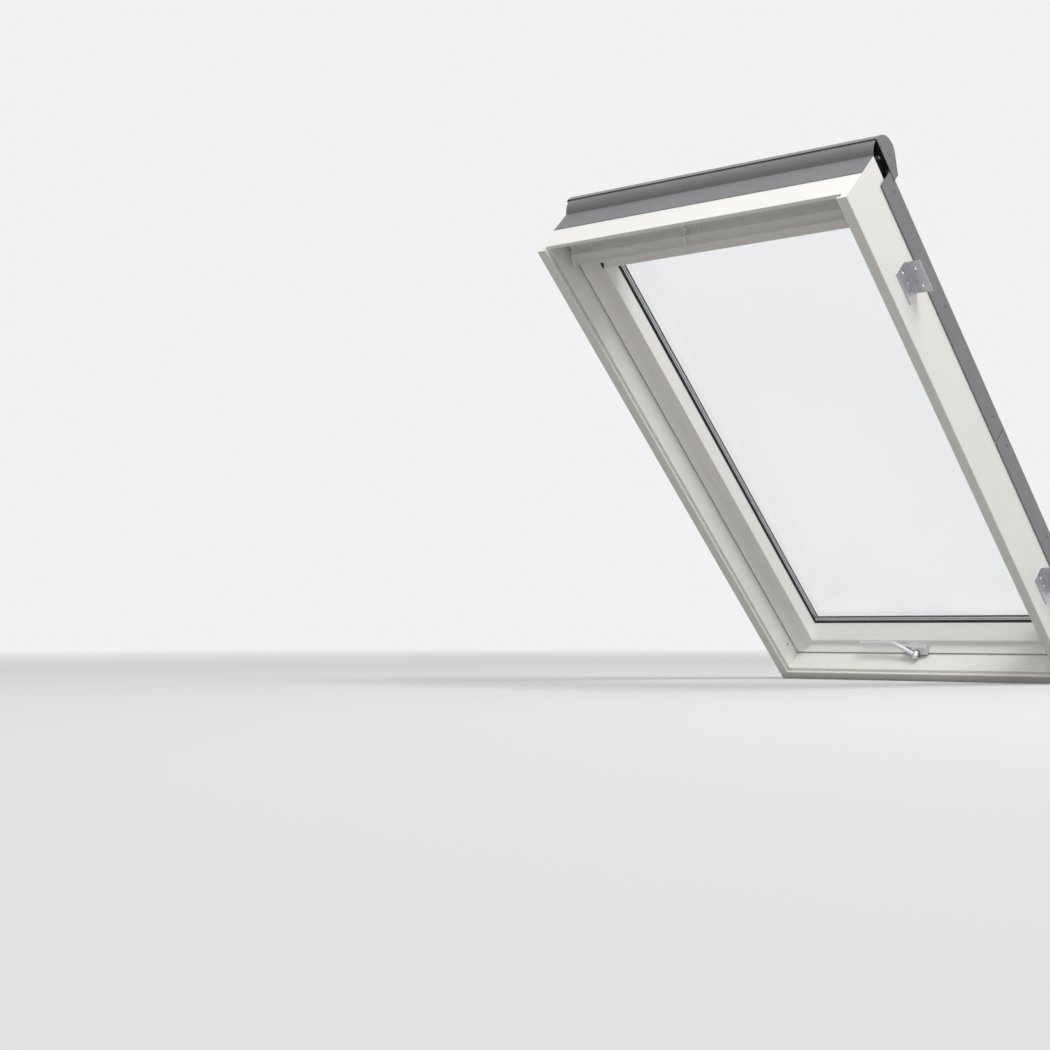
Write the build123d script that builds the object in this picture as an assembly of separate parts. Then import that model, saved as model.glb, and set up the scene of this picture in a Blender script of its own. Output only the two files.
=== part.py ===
from build123d import *
import math
import os

# Top-hung roof window with a centre-pivot cleaning movement, closed, in millimetres.
# It is drawn upright: X to the right seen from the room, Y outward to the sky, Z up the slope.
# Y = 0 is the roof plane under the mounting brackets, Z = 0 is the lower edge of the frame.
# The finished pieces are then leaned back by the roof pitch about the origin.

# Roof and frame
roof_pitch = 45
frame_width = 942
frame_height = 1600
frame_wall = 28.5
head_wall = 33
head_room_wall = 10
head_step_y = 14
frame_room_edge = -97
frame_outer_edge = 70
edge_radius = 3
groove_width = 12
groove_depth = 9
groove_front = -79
upper_seal_gap = 90
sill_fall = 6

# Sash
sash_gap = 3.7
sash_top_gap = 2
sash_face = 10
sash_outer_edge = 73
border_width = 14
border_height = 24
border_tip = 1.5
border_corner_radius = 10
stile_face_width = 37.7
rail_face_width = 11.5
rail_splay = 27.5
top_zone_height = 62
top_rail_height = 46
top_rail_nose = 8
top_zone_face = 24
filter_front_gap = 10
filter_back_gap = 13
filter_headroom = 26
filter_end_inset = 10
filter_edge = 2
filter_corner = 4
seal_bend_radius = 500
seal_bend_height = 250
seal_foot_rise = 15.8
seal_top_gap = 75
seal_top_depth = 35
seal_foot_depth = 56
seal_pitch = 12
seal_width = 5
seal_height = 3.1

# Glazing
seat_depth = 48
gasket_depth = 5
gasket_proud = 1.5
inner_glass = 4
glass_cavity = 15
outer_glass = 4
glass_bite = 15
rebate_clearance = 3
spacer_width = 14
spacer_inset = 3
cover_seal_reach = 9
cover_seal_width = 7
cover_seal_height = 2

# Outside covers
sheet = 1.5
cover_rise = 45
cover_flat = 23
cover_slope = 27
cover_lip = 3
cover_lip_gap = 2.1
cover_seat_gap = 0.2
cover_overhang = 27
cover_top_margin = 3
side_cover_inner_gap = 1.5
side_cover_outer_gap = 2
side_cover_rise = 40
side_cover_drop = 25

# Movement
pivot_height = 22
hinge_height = 36
hinge_from_top = 25
opening_angle = 45
tilt_limit = 164
pin_clearance = 0.05
arm_offset = 10.5
arm_thickness = 5
arm_depth = 24.2
hinge_eye_radius = 12
pivot_eye_radius = 16
pivot_pin_radius = 6
pivot_plate_half = 70
pivot_plate_gap = 2
disc_clearance = 0.4
hinge_pin_radius = 5
hood_radius = 47
hood_lip_angle = 30
hood_lip_length = 49
head_cover_radius = 44
head_cover_edge = 82

# Ventilation flap and control bar
flap_side_gap = 8.5
flap_top_gap = 17
flap_bottom_gap = 2
flap_bulge = 9.5
flap_thickness = 4
flap_axis_y = 9
flap_axis_rise = 6
flap_pin_radius = 3
flap_lug_width = 7
bar_end_inset = 14
bar_lip_y = -46
bar_lip_z = 1514
bar_face_height = 22
bar_face_lean = 12.5
bar_hollow = 6
bar_thickness = 3
fin_thickness = 8
fin_offset = -58
pad_length = 40
pad_thickness = 3.5

# Handle
handle_x = -16
handle_z = 44
handle_base_left = 38
handle_base_right = 33
base_front = -27
base_front_slope = 7
base_top = 61
base_top_depth = 9
base_foot_front = -13
base_foot_back = 4
base_seat_gap = 0.3
hub_radius = 9
hub_length = 15
spindle_radius = 5
grip_length = 118
grip_bend_gap = 34
grip_depth = 12
grip_height = 10.5
grip_y = -9
grip_rise = 23
grip_bend_radius = 60

# Fixings
bracket_thickness = 3
bracket_flange = 45
bracket_leg = 45
bracket_length = 90
bracket_from_end = 300
flange_hole_radius = 3.2
flange_hole_pitch = 50
screw_radius = 2.5
screw_pitch = 28
screw_depth = 19
bolt_radius = 4
bolt_length = 49.8
bolt_end_gap = 1
bolt_knob_length = 7
bolt_knob_gap = 3
bolt_guide_gap = 8.8
bolt_guide_height = 16
bolt_above_rail = 16
bolt_y = 17
bushing_radius = 6
bushing_bore = 4.5
bushing_depth = 14
striker_from_side = 281
striker_length = 40
striker_low = 13.5
striker_high = 21
keeper_inset = 10
keeper_margin = 1.5
keeper_top_margin = 2
keeper_height = 3.5

# Sizes that follow from the ones above
half_width = frame_width / 2
inner_half = half_width - frame_wall
head_inner = frame_height - head_wall
head_room_inner = frame_height - head_room_wall
sash_half = inner_half - sash_gap
sash_bottom = frame_wall + sash_gap
sash_top = head_inner - sash_top_gap
border_edge = sash_face - border_height
stile_inner = sash_half - border_width - stile_face_width
rail_face_top = sash_bottom + border_width + rail_face_width
daylight_bottom = rail_face_top + rail_splay
top_rail_top = head_inner - top_zone_height
daylight_top = top_rail_top - top_rail_height
glass_seat = sash_face + seat_depth
glass_inner = glass_seat + gasket_depth
cavity_inner = glass_inner + inner_glass
cavity_outer = cavity_inner + glass_cavity
glass_outer = cavity_outer + outer_glass
glass_half = stile_inner + glass_bite
glass_bottom = daylight_bottom - glass_bite
glass_top = daylight_top + glass_bite
cover_top = sash_outer_edge + cover_rise
mitre_reach = 3 * (cover_flat + cover_slope)
cover_end = head_inner - sash_top_gap - cover_top_margin
pivot_y = frame_outer_edge + pivot_height
pivot_z = frame_height / 2
hinge_y = frame_outer_edge + hinge_height
hinge_z = frame_height - hinge_from_top
arm_inner = inner_half + arm_offset
arm_outer = arm_inner + arm_thickness
side_cover_inner = inner_half + side_cover_inner_gap
side_cover_outer = half_width + side_cover_outer_gap
side_cover_top = frame_outer_edge + side_cover_rise
flap_axis_z = top_rail_top + flap_axis_rise
flap_bottom = top_rail_top + flap_bottom_gap
flap_top = head_room_inner - flap_top_gap
flap_half_width = inner_half - flap_side_gap
bar_half_length = flap_half_width - bar_end_inset
fin_x = bar_half_length + fin_thickness / 2
bracket_low = bracket_from_end
bracket_high = frame_height - bracket_from_end
bolt_z = top_rail_top + bolt_above_rail
bolt_outer_end = sash_half - bolt_end_gap
bolt_inner_end = bolt_outer_end - bolt_length
bolt_guide_start = bolt_inner_end + bolt_knob_length + bolt_knob_gap
bolt_guide_end = sash_half - bolt_guide_gap
striker_outer = half_width - striker_from_side
striker_inner = striker_outer - striker_length


def box(x0, x1, y0, y1, z0, z1):
    """Block between two corners."""
    centre = Pos((x0 + x1) / 2, (y0 + y1) / 2, (z0 + z1) / 2)
    return centre * Box(x1 - x0, y1 - y0, z1 - z0)


def outline(corners):
    """Closed face from (a, b) corners; a third number rounds that corner."""
    points = [corner[:2] for corner in corners]
    radii = [corner[2] if len(corner) == 3 else 0 for corner in corners]
    return make_face(FilletPolyline(*points, radius=radii, close=True))


def along_x(face, x0, x1):
    """Extrude a face drawn in (y, z) from x0 to x1."""
    return extrude(Plane.YZ.offset(x0) * face, amount=x1 - x0)


def along_y(face, y0, y1):
    """Extrude a face drawn in (x, z) from y0 to y1."""
    return extrude(Plane.XZ.offset(-y0) * face, amount=y0 - y1)


def along_z(face, z0, z1):
    """Extrude a face drawn in (x, y) from z0 to z1."""
    return extrude(Plane.XY.offset(z0) * face, amount=z1 - z0)


def rod_x(y, z, radius, x0, x1):
    """Round bar along X."""
    return Pos((x0 + x1) / 2, y, z) * Rot(0, 90, 0) * Cylinder(radius, x1 - x0)


def rod_y(x, z, radius, y0, y1):
    """Round bar along Y."""
    return Pos(x, (y0 + y1) / 2, z) * Rot(90, 0, 0) * Cylinder(radius, y1 - y0)


def turned(y, z, angle, centre_y, centre_z):
    """Point (y, z) after it turns outward about a centre by an angle in degrees."""
    cos_a = math.cos(math.radians(angle))
    sin_a = math.sin(math.radians(angle))
    dy = y - centre_y
    dz = z - centre_z
    return centre_y + dy * cos_a - dz * sin_a, centre_z + dy * sin_a + dz * cos_a


def sector(centre_y, centre_z, inner, outer, start, end):
    """Ring sector in (y, z); angles in degrees from +Y towards +Z."""
    arc = CenterArc((centre_y, centre_z), outer, start, end - start)
    back = CenterArc((centre_y, centre_z), inner, start, end - start)
    sides = [Line(arc @ 0, back @ 0), Line(arc @ 1, back @ 1)]
    return make_face([*arc.edges(), *back.edges(), *sides[0].edges(), *sides[1].edges()])


def both_sides(shape):
    """Left and right copies of a piece drawn on the right."""
    return {"left": mirror(shape, about=Plane.YZ), "right": shape}


def as_pair(shape):
    """Two separate solids, one on each side."""
    return Compound(children=[mirror(shape, about=Plane.YZ), shape])


# Frame

def jamb():
    """Right frame jamb with lining groove, bushing bore and screw holes."""
    section = outline([
        (inner_half, frame_room_edge, edge_radius),
        (half_width, frame_room_edge, edge_radius),
        (half_width, frame_outer_edge, 2),
        (inner_half, frame_outer_edge, edge_radius),
        (inner_half, groove_front),
        (inner_half + groove_depth, groove_front),
        (inner_half + groove_depth, groove_front - groove_width),
        (inner_half, groove_front - groove_width),
    ])
    post = along_z(section, 0, frame_height)
    bolt_end_y, bolt_end_z = turned(bolt_y, bolt_z, tilt_limit, pivot_y, pivot_z)
    post -= rod_x(bolt_end_y, bolt_end_z, bushing_radius, inner_half - 1, inner_half + bushing_depth)
    for y, z in bracket_screw_places():
        hole_start = half_width - screw_depth
        post -= rod_x(y, z, screw_radius + pin_clearance, hole_start, half_width + 1)
    return post


def frame_sill():
    """Bottom frame member; its inner face falls outward to clear the swinging sash."""
    return along_x(outline([
        (frame_room_edge, 0, edge_radius),
        (frame_outer_edge, 0),
        (frame_outer_edge, frame_wall - sill_fall, 2),
        (border_edge, frame_wall),
        (groove_front, frame_wall),
        (groove_front, frame_wall - groove_depth),
        (groove_front - groove_width, frame_wall - groove_depth),
        (groove_front - groove_width, frame_wall),
        (frame_room_edge, frame_wall, edge_radius),
    ]), -inner_half, inner_half)


def frame_head():
    """Top frame member: thin towards the room, where the flap swings, deep where the sash ends."""
    return along_x(outline([
        (groove_front, frame_height),
        (frame_outer_edge, frame_height),
        (frame_outer_edge, head_inner, 2),
        (head_step_y, head_inner, 1.5),
        (head_step_y, head_room_inner, 3),
        (groove_front, head_room_inner, 2),
    ]), -inner_half, inner_half)


def upper_side_gasket():
    """Rubber lip on the jamb above the pivot."""
    base_y = frame_outer_edge - 14
    lip = inner_half - sash_gap + 0.5
    section = outline([
        (inner_half, base_y),
        (inner_half, base_y + 10),
        (lip, base_y + 8, 1.2),
        (lip, base_y + 2, 1.2),
    ])
    return along_z(section, pivot_z + upper_seal_gap, head_inner - 12)


def head_gasket():
    """Rubber strip on the step of the head that the flap closes against."""
    return along_x(outline([
        (head_step_y, head_inner + 2),
        (head_step_y, head_inner + 10),
        (head_step_y - 4, head_inner + 7, 1),
        (head_step_y - 4, head_inner + 2.5, 1),
    ]), -flap_half_width, flap_half_width)


def bolt_bushing():
    """Flanged ring in the jamb that takes the cleaning bolt."""
    y, z = turned(bolt_y, bolt_z, tilt_limit, pivot_y, pivot_z)
    ring = rod_x(y, z, bushing_radius - 0.1, inner_half - 1, inner_half + bushing_depth - 0.5)
    ring += rod_x(y, z, bushing_radius + 2, inner_half - 1, inner_half)
    return ring - rod_x(y, z, bushing_bore, inner_half - 2, inner_half + bushing_depth)


def lock_striker():
    """Steel keeper on the outer edge of the sill."""
    face = frame_outer_edge + sheet
    plate = box(striker_inner, striker_outer, frame_outer_edge, face, striker_low, striker_high)
    keeper_low = striker_low + keeper_margin
    keeper_high = striker_high - keeper_top_margin
    return plate + box(striker_inner + keeper_inset, striker_outer - keeper_inset,
                       face, face + keeper_height, keeper_low, keeper_high)


def bracket_screw_places():
    """(y, z) of the screws that hold the brackets to a jamb."""
    rows = [bracket_low, bracket_high]
    return [(-22, row + step * screw_pitch) for row in rows for step in (-1, 0, 1)]


def mounting_bracket(row):
    """Right-hand steel angle; the underside of its flange lies in the roof plane."""
    section = outline([
        (half_width, -bracket_leg, 1),
        (half_width + bracket_thickness, -bracket_leg, 1),
        (half_width + bracket_thickness, 0, 1),
        (half_width + bracket_flange, 0),
        (half_width + bracket_flange, bracket_thickness),
        (half_width, bracket_thickness, 3),
    ])
    angle = along_z(section, row - bracket_length / 2, row + bracket_length / 2)
    hole_x = half_width + bracket_flange * 0.6
    for step in (-0.5, 0.5):
        hole_z = row + step * flange_hole_pitch
        angle -= rod_y(hole_x, hole_z, flange_hole_radius, -1, bracket_thickness + 1)
    for y, z in bracket_screw_places():
        if abs(z - row) < bracket_length / 2:
            angle -= rod_x(y, z, screw_radius + 0.1, half_width - 1, half_width + bracket_thickness + 1)
    return angle


def bracket_screw(y, z):
    """Pan-head screw through the bracket into the jamb."""
    head_start = half_width + bracket_thickness
    head = rod_x(y, z, screw_radius * 1.9, head_start, head_start + 2.5)
    return head + rod_x(y, z, screw_radius, half_width - screw_depth + 1, head_start)


def hinge_bracket():
    """Steel foot on the frame corner with the ear that carries the hinge pin."""
    ear_inner = inner_half + 3.5
    ear_outer = ear_inner + 4.5
    foot_low = hinge_z - 30
    foot_high = frame_height - 3
    foot = box(ear_inner, half_width - 2, frame_outer_edge, frame_outer_edge + 3, foot_low, foot_high)
    web = along_x(outline([
        (frame_outer_edge, foot_low),
        (frame_outer_edge, foot_high),
        (hinge_y, hinge_z + hinge_eye_radius * 0.9),
        (hinge_y, hinge_z - hinge_eye_radius * 0.9),
    ]), ear_inner, ear_outer)
    ear = web + rod_x(hinge_y, hinge_z, hinge_eye_radius, ear_inner, ear_outer)
    return foot + ear - rod_x(hinge_y, hinge_z, hinge_pin_radius, ear_inner - 1, ear_outer + 1)


def hinge_pin():
    """Pin riveted in the hinge bracket; the arm turns on it."""
    start = inner_half + 3.5
    pin = rod_x(hinge_y, hinge_z, hinge_pin_radius, start - 2, arm_outer + 4)
    return pin + rod_x(hinge_y, hinge_z, hinge_pin_radius + 2, start - 4, start)


def side_cover_section():
    """Sheet channel over the edge of a jamb, drawn in (x, y)."""
    low = frame_outer_edge - side_cover_drop
    inner_foot = frame_outer_edge
    return outline([
        (side_cover_inner, inner_foot),
        (side_cover_inner, side_cover_top, 4),
        (side_cover_outer + sheet, side_cover_top, 6),
        (side_cover_outer + sheet, low),
        (side_cover_outer, low),
        (side_cover_outer, side_cover_top - sheet, 4.5),
        (side_cover_inner + sheet, side_cover_top - sheet, 2.5),
        (side_cover_inner + sheet, inner_foot),
    ])


def side_cover_end(z0, lift):
    """Closed end of a side cover."""
    low = frame_outer_edge + lift
    plate = outline([
        (side_cover_inner, low),
        (side_cover_inner, side_cover_top, 4),
        (side_cover_outer + sheet, side_cover_top, 6),
        (side_cover_outer + sheet, low),
    ])
    return along_z(plate, z0, z0 + sheet)


def frame_side_cover():
    """Fixed cover over the jamb below the pivot."""
    low = 13
    high = pivot_z - 56
    cover = along_z(side_cover_section(), low, high)
    return cover + side_cover_end(low, 0) + side_cover_end(high - sheet, 0)


def sill_cover():
    """Sheet angle under and over the outer lower corner of the frame."""
    face = frame_outer_edge + sheet
    return along_x(outline([
        (20, 0),
        (20, -sheet),
        (face, -sheet, 2),
        (face, 12),
        (frame_outer_edge, 12),
        (frame_outer_edge, 0),
    ]), -half_width, half_width)


def head_cover():
    """Fixed sheet on the frame head, curved round the hinge axis under the hood."""
    start = 180 - math.degrees(math.asin(hinge_from_top / head_cover_radius))
    curl = sector(hinge_y, hinge_z, head_cover_radius, head_cover_radius + sheet, head_cover_edge, start)
    foot_y = hinge_y + head_cover_radius * math.cos(math.radians(start))
    leg = outline([
        (0, frame_height),
        (foot_y, frame_height),
        (foot_y, frame_height + sheet),
        (0, frame_height + sheet),
    ])
    return along_x(curl + leg, -half_width, half_width)


# Lifting arms

def arm():
    """Flat steel arm from the top hinge to the centre pivot."""
    top = side_cover_top - sheet - 0.3
    bar = box(arm_inner, arm_outer, top - arm_depth, top, pivot_z, hinge_z - 4)
    bar += rod_x(pivot_y, pivot_z, pivot_eye_radius, arm_inner, arm_outer)
    bar += rod_x(hinge_y, hinge_z, hinge_eye_radius, arm_inner, arm_outer)
    bar -= rod_x(hinge_y, hinge_z, hinge_pin_radius + pin_clearance, arm_inner - 1, arm_outer + 1)
    return bar - rod_x(pivot_y, pivot_z, pivot_pin_radius, arm_inner - 1, arm_outer + 1)


def arm_cover():
    """Cover over the arm; it lifts with it."""
    low = pivot_z - 53
    high = hinge_z - 40
    cover = along_z(side_cover_section(), low, high)
    cover += side_cover_end(low, 4)
    cover -= box(side_cover_inner - 1, side_cover_inner + sheet, 0, frame_outer_edge + 4, low - 1, high + 1)
    disc_hole = pivot_eye_radius + disc_clearance
    return cover - rod_x(pivot_y, pivot_z, disc_hole, side_cover_inner - 1, arm_inner)


def pivot_pin():
    """Pin and friction disc, riveted to the arm."""
    pin = rod_x(pivot_y, pivot_z, pivot_pin_radius, sash_half - 2, arm_outer + 1.5)
    return pin + rod_x(pivot_y, pivot_z, pivot_eye_radius, inner_half - 0.6, arm_inner)


def hood_profile():
    """Curved sheet round the hinge axis, then straight down to the lip."""
    outer = hood_radius + sheet
    curve = sector(hinge_y, hinge_z, hood_radius, outer, -hood_lip_angle, 90)
    cos_a = math.cos(math.radians(hood_lip_angle))
    sin_a = math.sin(math.radians(hood_lip_angle))
    slope = [
        (hinge_y + hood_radius * cos_a, hinge_z - hood_radius * sin_a),
        (hinge_y + outer * cos_a, hinge_z - outer * sin_a),
        (hinge_y + outer * cos_a - hood_lip_length * sin_a,
         hinge_z - outer * sin_a - hood_lip_length * cos_a),
        (hinge_y + hood_radius * cos_a - hood_lip_length * sin_a,
         hinge_z - hood_radius * sin_a - hood_lip_length * cos_a),
    ]
    return curve + outline(slope)


def hood_cheek():
    """Closed end of the hood, drawn in (y, z)."""
    outer = hood_radius + sheet
    cos_a = math.cos(math.radians(hood_lip_angle))
    sin_a = math.sin(math.radians(hood_lip_angle))
    lip_y = hinge_y + outer * cos_a - hood_lip_length * sin_a
    lip_z = hinge_z - outer * sin_a - hood_lip_length * cos_a
    disc = sector(hinge_y, hinge_z, 1, outer, -hood_lip_angle, 90)
    wedge = outline([
        (hinge_y, hinge_z),
        (hinge_y + outer * cos_a, hinge_z - outer * sin_a),
        (lip_y, lip_z),
        (hinge_y - 4, lip_z),
        (hinge_y - 4, hinge_z + outer),
        (hinge_y, hinge_z + outer),
    ])
    return disc + wedge


def top_hood():
    """Hood over the head of the window, carried by both arms."""
    hood_half = side_cover_outer + 2 * sheet
    hood = along_x(hood_profile(), -hood_half, hood_half)
    cheek = along_x(hood_cheek(), hood_half - sheet, hood_half)
    lug_end = head_cover_edge - opening_angle - 2
    lug = along_x(sector(hinge_y, hinge_z, hinge_pin_radius + 0.5, hood_radius + 0.5, -20, lug_end),
                  arm_outer + 0.3, arm_outer + 2.3)
    for piece in (cheek, lug):
        hood += piece
        hood += mirror(piece, about=Plane.YZ)
    return hood


# Sash

def room_pocket():
    """Room-side hollow inside the sash border: wide at its mouth, with rounded corners below."""
    tall = sash_top - sash_bottom + 200
    levels = [(border_edge - 0.01, border_tip), (sash_face, border_width)]
    sections = []
    for y, inset in levels:
        plane = Plane((0, y, sash_bottom + inset + tall / 2), x_dir=(1, 0, 0), z_dir=(0, 1, 0))
        radius = border_corner_radius + border_width - inset
        sections.append(plane * RectangleRounded(2 * (sash_half - inset), tall, radius))
    return loft(sections)


def stile():
    """Right sash stile, with its share of the raised border and of the lower corner."""
    section = outline([
        (sash_half, sash_face),
        (stile_inner, sash_face, 2.5),
        (stile_inner, glass_seat, 0.5),
        (glass_half + rebate_clearance, glass_seat),
        (glass_half + rebate_clearance, sash_outer_edge, 1),
        (sash_half, sash_outer_edge, 2),
    ])
    post = along_z(section, sash_bottom, sash_top)
    border = box(stile_inner, sash_half, border_edge, sash_face, sash_bottom, top_rail_top - 5)
    post += border - room_pocket()
    return post - box(0, sash_half + 1, border_edge - 1, top_zone_face, top_rail_top - 5, sash_top + 1)


def bottom_rail():
    """Bottom rail between the stiles: raised border, narrow face, long splay to the glass."""
    return along_x(outline([
        (border_edge, sash_bottom),
        (border_edge, sash_bottom + border_tip),
        (sash_face, sash_bottom + border_width, 1.5),
        (sash_face, rail_face_top, 6),
        (glass_seat, daylight_bottom, 0.5),
        (glass_seat, glass_bottom - rebate_clearance),
        (sash_outer_edge, glass_bottom - rebate_clearance, 1),
        (sash_outer_edge, sash_bottom, 2),
    ]), -stile_inner, stile_inner)


def top_rail():
    """Top rail with a rounded nose towards the room."""
    nose = sash_face - top_rail_nose
    return along_x(outline([
        (nose, daylight_top + 1, 5),
        (nose, top_rail_top - 5, 5),
        (nose + 12, top_rail_top, 3),
        (sash_outer_edge, top_rail_top, 2),
        (sash_outer_edge, glass_top + rebate_clearance, 1),
        (glass_seat, glass_top + rebate_clearance),
        (glass_seat, daylight_top, 0.5),
        (sash_face, daylight_top),
    ]), -stile_inner, stile_inner)


def ring(y0, y1, half, low, high, width):
    """Rectangular ring in the plane of the glass."""
    outer = box(-half, half, y0, y1, low, high)
    return outer - box(width - half, half - width, y0 - 1, y1 + 1, low + width, high - width)


def glazing_gasket():
    """Black seal between the sash and the inner pane."""
    half = stile_inner + 8
    width = 8 + gasket_proud
    return ring(glass_seat, glass_inner, half, daylight_bottom - 8, daylight_top + 8, width)


def spacer_bar():
    """Aluminium spacer between the panes."""
    inset = spacer_inset
    return ring(cavity_inner, cavity_outer, glass_half - inset, glass_bottom + inset,
                glass_top - inset, spacer_width)


def pane(y0, y1):
    """Glass pane."""
    return box(-glass_half, glass_half, y0, y1, glass_bottom, glass_top)


def cover_gasket():
    """Seal between the outer pane and the covers."""
    half = stile_inner + cover_seal_reach
    low = daylight_bottom - 3
    high = daylight_top + cover_seal_reach
    seal = ring(glass_outer, glass_outer + cover_seal_height, half, low, high, cover_seal_width)
    step = glass_outer + 0.5
    above = glass_outer + cover_seal_height + 1
    return seal - box(-half, half, step, above, low - 1, daylight_bottom + 3.2)


def cover_path(edge, direction):
    """Sheet profile from the sash side over the top to the glass, as (offset, y) corners."""
    foot = sash_outer_edge + cover_seat_gap
    lip_y = glass_outer + cover_lip_gap
    crest = edge - direction * cover_flat
    lip = crest - direction * cover_slope
    return [
        (edge, foot),
        (edge, cover_top, 4),
        (crest, cover_top, 5),
        (lip, lip_y + sheet),
        (lip - direction * cover_lip, lip_y + sheet),
        (lip - direction * cover_lip, lip_y),
        (lip + direction * 0.7, lip_y),
        (crest + direction * 0.7, cover_top - sheet, 3.5),
        (edge - direction * sheet, cover_top - sheet, 2.5),
        (edge - direction * sheet, foot),
    ]


def mitre_block(side):
    """Everything on one side of the mitre line: 1 is above it, -1 beside it towards the stile."""
    triangle = outline([
        (stile_inner - mitre_reach, daylight_top - mitre_reach),
        (stile_inner + mitre_reach, daylight_top + mitre_reach),
        (stile_inner - side * mitre_reach, daylight_top + side * mitre_reach),
    ])
    return along_y(triangle, sash_outer_edge - 5, cover_top + 5)


def sash_side_cover():
    """Sheet cover along the right stile."""
    low = sash_bottom - cover_overhang
    cover = along_z(outline(cover_path(sash_half, 1)), low, cover_end)
    cover -= mitre_block(1)
    reach = pivot_plate_half + pivot_plate_gap
    return cover - box(sash_half - 3, sash_half + 1, 60, cover_top - 5, pivot_z - reach, pivot_z + reach)


def sash_top_cover():
    """Sheet cover along the top rail, with closed ends."""
    corners = []
    inner_line = daylight_top + cover_flat + cover_slope + cover_lip - 1.5
    for corner in cover_path(inner_line, 1):
        corners.append((corner[1], corner[0], *corner[2:]))
    cover = along_x(outline(corners), -sash_half, sash_half)
    shelf_low = inner_line - 10
    cover -= box(-sash_half, sash_half, sash_outer_edge, cover_top - sheet, shelf_low, inner_line + 1)
    cover += box(-sash_half, sash_half, cover_top - sheet, cover_top, shelf_low, cover_end)
    cover += box(-sash_half, sash_half, sash_outer_edge + 8, cover_top, cover_end - sheet, cover_end)
    cover -= mitre_block(-1)
    cover -= mirror(mitre_block(-1), about=Plane.YZ)
    wall = box(sash_half - sheet, sash_half, sash_outer_edge + cover_seat_gap, cover_top,
               daylight_top + sash_half - stile_inner + 0.2, cover_end)
    return cover + wall + mirror(wall, about=Plane.YZ)


def sash_bottom_cover():
    """Low sheet below the glass that sheds the rain over the sill."""
    half = sash_half - sheet - 0.1
    low = sash_bottom - cover_overhang
    top = glass_outer + 2
    return along_x(outline([
        (top - sheet, daylight_bottom + 3),
        (top, daylight_bottom + 3),
        (top, glass_bottom - 1, 4),
        (top - 5, low, 3),
        (sash_outer_edge + 2.5, low),
        (sash_outer_edge + 2.5, low + sheet),
        (top - 5 - sheet, low + sheet, 1.5),
        (top - sheet, glass_bottom - 1, 3),
    ]), -half, half)


def cover_end_cap():
    """Moulded cap on the lower end of the right cover."""
    low = sash_bottom - cover_overhang
    corners = cover_path(sash_half, 1)[:5]
    lip_x = corners[4][0]
    shape = outline([*corners, (lip_x, sash_outer_edge + cover_seat_gap)])
    return along_z(shape, low - 2.2, low - 0.2)


def side_gasket(offset):
    """Rubber strip on the stile below the pivot, bent outward towards the lower corner."""
    half = seal_width / 2
    start = sash_face + seal_top_depth - offset
    end = sash_face + seal_foot_depth - offset
    high = pivot_z - seal_top_gap
    low = sash_bottom + seal_foot_rise
    strip = outline([
        (start - half, high),
        (start - half, seal_bend_height, seal_bend_radius),
        (end - half, low),
        (end + half, low),
        (start + half, seal_bend_height, seal_bend_radius),
        (start + half, high),
    ])
    return along_x(strip, sash_half, sash_half + seal_height)


def bottom_gasket():
    """Rubber strip under the bottom rail."""
    return along_x(outline([
        (56, sash_bottom),
        (58, sash_bottom - 5, 1.5),
        (66, sash_bottom - 5, 1.5),
        (68, sash_bottom),
    ]), -sash_half + 3, sash_half - 3)


def pivot_plate():
    """Steel plate on the stile that turns on the pivot pin."""
    plate = along_x(outline([
        (38, pivot_z - pivot_plate_half, 16),
        (38, pivot_z + pivot_plate_half, 16),
        (cover_top - 7, pivot_z + pivot_plate_half, 16),
        (cover_top - 7, pivot_z - pivot_plate_half, 16),
    ]), sash_half, inner_half - 1.2)
    return plate - rod_x(pivot_y, pivot_z, pivot_pin_radius + pin_clearance, sash_half - 1, inner_half)


def bolt_guide():
    """Guide block of the cleaning bolt on the stile."""
    half = bolt_guide_height / 2
    block = box(bolt_guide_start, bolt_guide_end, sash_face, top_zone_face, bolt_z - half, bolt_z + half)
    bore = rod_x(bolt_y, bolt_z, bolt_radius + pin_clearance, bolt_guide_start - 1, bolt_guide_end + 1)
    return block - bore


def barrel_bolt():
    """Cleaning bolt, drawn back, with its knob."""
    bolt = rod_x(bolt_y, bolt_z, bolt_radius, bolt_inner_end, bolt_outer_end)
    return bolt + rod_x(bolt_y, bolt_z, bolt_radius + 2, bolt_inner_end, bolt_inner_end + bolt_knob_length)


def flap_lug():
    """Lug on the top rail with the pin of the flap."""
    x0 = stile_inner - 1 - flap_lug_width
    lug = box(x0, stile_inner - 1, flap_axis_y - 5, flap_axis_y + 9, top_rail_top, flap_axis_z + 5)
    return lug + rod_x(flap_axis_y, flap_axis_z, flap_pin_radius, x0 - 7.5, x0)


def vent_filter():
    """Foam filter in the ventilation channel."""
    half = stile_inner - filter_end_inset
    front = top_zone_face + filter_front_gap
    back = sash_outer_edge - filter_back_gap
    high = head_inner - filter_headroom
    return along_x(outline([
        (front, top_rail_top, filter_edge),
        (front, high, filter_corner),
        (back, high, filter_corner),
        (back, top_rail_top, filter_edge),
    ]), -half, half)


def border_height_at(y):
    """Height of the slanted border of the bottom rail at a depth y."""
    slope = (border_width - border_tip) / border_height
    return sash_bottom + border_width - slope * (sash_face - y)


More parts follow.
